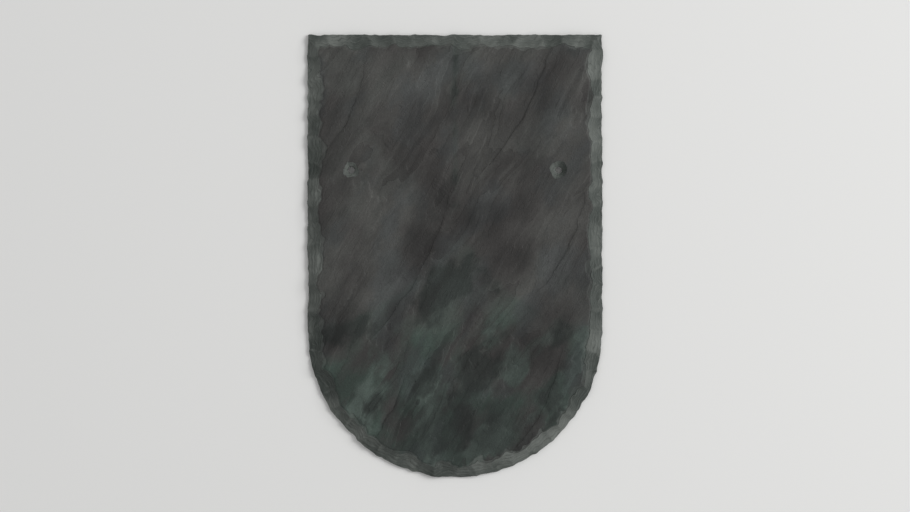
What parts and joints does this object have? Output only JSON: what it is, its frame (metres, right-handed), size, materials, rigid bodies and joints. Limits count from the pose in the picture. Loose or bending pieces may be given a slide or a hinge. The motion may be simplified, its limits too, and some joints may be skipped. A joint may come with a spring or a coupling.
{
  "type": "slate roof tile",
  "caption": "Flat rectangular sheet of split slate with a half-round tail, chipped edges and two nail holes, laid in overlapping courses to cover a roof.",
  "frame": {"origin": "middle of the bed face, half way across the slate and half way between head and tail", "axes": "+X across the slate, +Y up the roof towards the square head, +Z out of the weather face"},
  "size_m": [0.2, 0.3, 0.007],
  "materials": {
    "slate": "riven matte"
  },
  "bodies": {
    "root": {"slate": "slate"}
  },
  "joints": []
}
